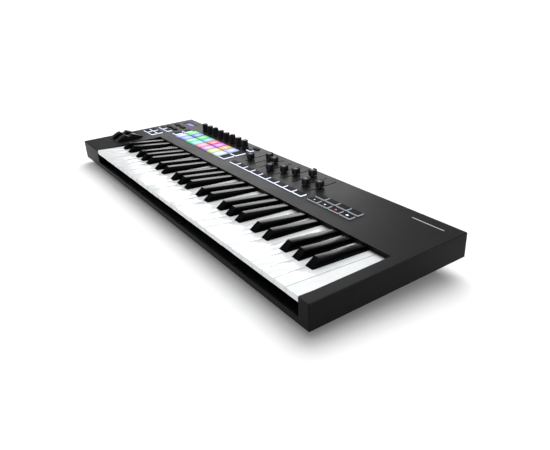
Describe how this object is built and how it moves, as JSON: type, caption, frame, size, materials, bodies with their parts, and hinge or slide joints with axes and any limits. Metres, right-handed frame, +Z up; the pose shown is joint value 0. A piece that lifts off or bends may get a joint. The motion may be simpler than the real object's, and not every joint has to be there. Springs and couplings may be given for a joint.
{
  "type": "midi keyboard",
  "caption": "Controller keyboard with piano-style keys in a thin black case that leans forward, lit pads, knobs, faders, thumb wheels and push buttons.",
  "frame": {"origin": "centre of the bounding box on the table plane, under the rubber feet", "axes": "+X towards the treble end, +Y from the player to the rear, +Z up from the table"},
  "size_m": [0.789, 0.2596, 0.0769],
  "materials": {
    "case_abs": "fine moulded texture",
    "frame_abs": "moulded",
    "steel": "plated",
    "spring_steel": "bright",
    "felt": "pressed felt",
    "board": "solder mask",
    "rubber": "moulded",
    "display": "lit liquid crystal display",
    "window": "clear acrylic",
    "socket_abs": "moulded",
    "white_key": "polished",
    "black_key": "satin",
    "cap_abs": "soft touch",
    "wheel_rubber": "soft touch",
    "pad_silicone": "translucent silicone, lit from below",
    "button_silicone": "silicone, lit from below"
  },
  "bodies": {
    "case": {"top_case": "case_abs", "bottom_case": "case_abs", "keybed_frame": "frame_abs", "key_pivot_rod": "steel", "key_stop_felts": "felt", "key_contact_board": "board", "rubber_contact_strip": "rubber", "key_return_springs": "spring_steel", "panel_board": "board", "main_board": "board", "display_module": "display", "display_window": "window", "knob_pots": "steel", "fader_tracks": "steel", "wheel_cradle": "frame_abs", "wheel_axle": "steel", "usb_socket": "steel", "midi_out_socket": "socket_abs", "sustain_jack": "socket_abs", "rubber_feet": "rubber", "case_screws": "steel", "board_screws": "steel"},
    "key_c": {"key_c": "white_key"},
    "key_c_sharp": {"key_c_sharp": "black_key"},
    "key_d": {"key_d": "white_key"},
    "key_d_sharp": {"key_d_sharp": "black_key"},
    "key_e": {"key_e": "white_key"},
    "key_f": {"key_f": "white_key"},
    "key_f_sharp": {"key_f_sharp": "black_key"},
    "key_g": {"key_g": "white_key"},
    "key_g_sharp": {"key_g_sharp": "black_key"},
    "key_a": {"key_a": "white_key"},
    "key_a_sharp": {"key_a_sharp": "black_key"},
    "key_b": {"key_b": "white_key"},
    "pitch_wheel": {"pitch_wheel": "wheel_rubber"},
    "modulation_wheel": {"modulation_wheel": "wheel_rubber"},
    "knob_1": {"knob_1": "cap_abs"},
    "knob_2": {"knob_2": "cap_abs"},
    "knob_3": {"knob_3": "cap_abs"},
    "knob_4": {"knob_4": "cap_abs"},
    "knob_5": {"knob_5": "cap_abs"},
    "knob_6": {"knob_6": "cap_abs"},
    "knob_7": {"knob_7": "cap_abs"},
    "knob_8": {"knob_8": "cap_abs"},
    "fader_cap_1": {"fader_cap_1": "cap_abs"},
    "fader_cap_2": {"fader_cap_2": "cap_abs"},
    "fader_cap_3": {"fader_cap_3": "cap_abs"},
    "fader_cap_4": {"fader_cap_4": "cap_abs"},
    "fader_cap_5": {"fader_cap_5": "cap_abs"},
    "fader_cap_6": {"fader_cap_6": "cap_abs"},
    "fader_cap_7": {"fader_cap_7": "cap_abs"},
    "fader_cap_8": {"fader_cap_8": "cap_abs"},
    "fader_cap_9": {"fader_cap_9": "cap_abs"},
    "pad_row_upper": {"pad_row_upper": "pad_silicone"},
    "pad_row_lower": {"pad_row_lower": "pad_silicone"},
    "menu_buttons": {"menu_buttons": "button_silicone"},
    "track_buttons": {"track_buttons": "button_silicone"},
    "pad_side_buttons": {"pad_side_buttons": "button_silicone"},
    "fader_buttons": {"fader_buttons": "button_silicone"},
    "transport_buttons": {"transport_buttons": "button_silicone"}
  },
  "joints": [
    {"name": "key_c_press", "type": "hinge", "parent": "case", "child": "key_c", "pos_m": [0, 0.027, 0.041], "axis": [1, 0, 0], "range_deg": [0, 3.65], "stiffness_Nm_per_rad": 1, "springref_deg": -22.92},
    {"name": "key_c_sharp_press", "type": "hinge", "parent": "case", "child": "key_c_sharp", "pos_m": [0, 0.027, 0.041], "axis": [1, 0, 0], "range_deg": [0, 3.65], "stiffness_Nm_per_rad": 1, "springref_deg": -22.92},
    {"name": "pitch_wheel_turn", "type": "hinge", "parent": "case", "child": "pitch_wheel", "pos_m": [-0.369, -0.04841, 0.02489], "axis": [1, 0, 0], "range_deg": [-28, 28], "stiffness_Nm_per_rad": 0.08},
    {"name": "modulation_wheel_turn", "type": "hinge", "parent": "case", "child": "modulation_wheel", "pos_m": [-0.337, -0.04841, 0.02489], "axis": [1, 0, 0], "range_deg": [-28, 28]},
    {"name": "knob_1_turn", "type": "hinge", "parent": "case", "child": "knob_1", "pos_m": [-0.277, 0.1048, 0.06037], "axis": [0, -0.0576, 0.9983], "range_deg": [-150, 150]},
    {"name": "fader_cap_1_slide", "type": "slide", "parent": "case", "child": "fader_cap_1", "axis": [0, 0.9983, 0.0576], "range_m": [-0.0102, 0.0377]},
    {"name": "fader_cap_2_slide", "type": "slide", "parent": "case", "child": "fader_cap_2", "axis": [0, 0.9983, 0.0576], "range_m": [-0.0362, 0.0117]},
    {"name": "pad_row_upper_press", "type": "slide", "parent": "case", "child": "pad_row_upper", "axis": [0, 0.0576, -0.9983], "range_m": [0, 0.0008], "stiffness_N_per_m": 1500, "springref_m": -0.003},
    {"name": "pad_row_lower_press", "type": "slide", "parent": "case", "child": "pad_row_lower", "axis": [0, 0.0576, -0.9983], "range_m": [0, 0.0008], "stiffness_N_per_m": 1500, "springref_m": -0.003},
    {"name": "menu_buttons_press", "type": "slide", "parent": "case", "child": "menu_buttons", "axis": [0, 0.0576, -0.9983], "range_m": [0, 0.001], "stiffness_N_per_m": 600, "springref_m": -0.003},
    {"name": "track_buttons_press", "type": "slide", "parent": "case", "child": "track_buttons", "axis": [0, 0.0576, -0.9983], "range_m": [0, 0.001], "stiffness_N_per_m": 600, "springref_m": -0.003},
    {"name": "pad_side_buttons_press", "type": "slide", "parent": "case", "child": "pad_side_buttons", "axis": [0, 0.0576, -0.9983], "range_m": [0, 0.001], "stiffness_N_per_m": 600, "springref_m": -0.003},
    {"name": "fader_buttons_press", "type": "slide", "parent": "case", "child": "fader_buttons", "axis": [0, 0.0576, -0.9983], "range_m": [0, 0.001], "stiffness_N_per_m": 600, "springref_m": -0.003},
    {"name": "transport_buttons_press", "type": "slide", "parent": "case", "child": "transport_buttons", "axis": [0, 0.0576, -0.9983], "range_m": [0, 0.001], "stiffness_N_per_m": 600, "springref_m": -0.003},
    {"name": "key_d_press", "type": "hinge", "parent": "case", "child": "key_d", "pos_m": [0, 0.027, 0.041], "axis": [1, 0, 0], "range_deg": [0, 3.65], "stiffness_Nm_per_rad": 1, "springref_deg": -22.92},
    {"name": "key_d_sharp_press", "type": "hinge", "parent": "case", "child": "key_d_sharp", "pos_m": [0, 0.027, 0.041], "axis": [1, 0, 0], "range_deg": [0, 3.65], "stiffness_Nm_per_rad": 1, "springref_deg": -22.92},
    {"name": "key_e_press", "type": "hinge", "parent": "case", "child": "key_e", "pos_m": [0, 0.027, 0.041], "axis": [1, 0, 0], "range_deg": [0, 3.65], "stiffness_Nm_per_rad": 1, "springref_deg": -22.92},
    {"name": "key_f_press", "type": "hinge", "parent": "case", "child": "key_f", "pos_m": [0, 0.027, 0.041], "axis": [1, 0, 0], "range_deg": [0, 3.65], "stiffness_Nm_per_rad": 1, "springref_deg": -22.92},
    {"name": "key_f_sharp_press", "type": "hinge", "parent": "case", "child": "key_f_sharp", "pos_m": [0, 0.027, 0.041], "axis": [1, 0, 0], "range_deg": [0, 3.65], "stiffness_Nm_per_rad": 1, "springref_deg": -22.92},
    {"name": "key_g_press", "type": "hinge", "parent": "case", "child": "key_g", "pos_m": [0, 0.027, 0.041], "axis": [1, 0, 0], "range_deg": [0, 3.65], "stiffness_Nm_per_rad": 1, "springref_deg": -22.92},
    {"name": "key_g_sharp_press", "type": "hinge", "parent": "case", "child": "key_g_sharp", "pos_m": [0, 0.027, 0.041], "axis": [1, 0, 0], "range_deg": [0, 3.65], "stiffness_Nm_per_rad": 1, "springref_deg": -22.92},
    {"name": "key_a_press", "type": "hinge", "parent": "case", "child": "key_a", "pos_m": [0, 0.027, 0.041], "axis": [1, 0, 0], "range_deg": [0, 3.65], "stiffness_Nm_per_rad": 1, "springref_deg": -22.92},
    {"name": "key_a_sharp_press", "type": "hinge", "parent": "case", "child": "key_a_sharp", "pos_m": [0, 0.027, 0.041], "axis": [1, 0, 0], "range_deg": [0, 3.65], "stiffness_Nm_per_rad": 1, "springref_deg": -22.92},
    {"name": "key_b_press", "type": "hinge", "parent": "case", "child": "key_b", "pos_m": [0, 0.027, 0.041], "axis": [1, 0, 0], "range_deg": [0, 3.65], "stiffness_Nm_per_rad": 1, "springref_deg": -22.92},
    {"name": "knob_2_turn", "type": "hinge", "parent": "case", "child": "knob_2", "pos_m": [-0.2531, 0.1048, 0.06037], "axis": [0, -0.0576, 0.9983], "range_deg": [-150, 150]},
    {"name": "knob_3_turn", "type": "hinge", "parent": "case", "child": "knob_3", "pos_m": [-0.2292, 0.1048, 0.06037], "axis": [0, -0.0576, 0.9983], "range_deg": [-150, 150]},
    {"name": "knob_4_turn", "type": "hinge", "parent": "case", "child": "knob_4", "pos_m": [-0.2053, 0.1048, 0.06037], "axis": [0, -0.0576, 0.9983], "range_deg": [-150, 150]},
    {"name": "knob_5_turn", "type": "hinge", "parent": "case", "child": "knob_5", "pos_m": [-0.1814, 0.1048, 0.06037], "axis": [0, -0.0576, 0.9983], "range_deg": [-150, 150]},
    {"name": "knob_6_turn", "type": "hinge", "parent": "case", "child": "knob_6", "pos_m": [-0.1575, 0.1048, 0.06037], "axis": [0, -0.0576, 0.9983], "range_deg": [-150, 150]},
    {"name": "knob_7_turn", "type": "hinge", "parent": "case", "child": "knob_7", "pos_m": [-0.1336, 0.1048, 0.06037], "axis": [0, -0.0576, 0.9983], "range_deg": [-150, 150]},
    {"name": "knob_8_turn", "type": "hinge", "parent": "case", "child": "knob_8", "pos_m": [-0.1097, 0.1048, 0.06037], "axis": [0, -0.0576, 0.9983], "range_deg": [-150, 150]},
    {"name": "fader_cap_3_slide", "type": "slide", "parent": "case", "child": "fader_cap_3", "axis": [0, 0.9983, 0.0576], "range_m": [-0.0302, 0.0177]},
    {"name": "fader_cap_4_slide", "type": "slide", "parent": "case", "child": "fader_cap_4", "axis": [0, 0.9983, 0.0576], "range_m": [-0.0042, 0.0437]},
    {"name": "fader_cap_5_slide", "type": "slide", "parent": "case", "child": "fader_cap_5", "axis": [0, 0.9983, 0.0576], "range_m": [-0.0172, 0.0307]},
    {"name": "fader_cap_6_slide", "type": "slide", "parent": "case", "child": "fader_cap_6", "axis": [0, 0.9983, 0.0576], "range_m": [-0.0242, 0.0237]},
    {"name": "fader_cap_7_slide", "type": "slide", "parent": "case", "child": "fader_cap_7", "axis": [0, 0.9983, 0.0576], "range_m": [-0.0412, 0.0067]},
    {"name": "fader_cap_8_slide", "type": "slide", "parent": "case", "child": "fader_cap_8", "axis": [0, 0.9983, 0.0576], "range_m": [-0.0082, 0.0397]},
    {"name": "fader_cap_9_slide", "type": "slide", "parent": "case", "child": "fader_cap_9", "axis": [0, 0.9983, 0.0576], "range_m": [-0.0172, 0.0307]}
  ]
}
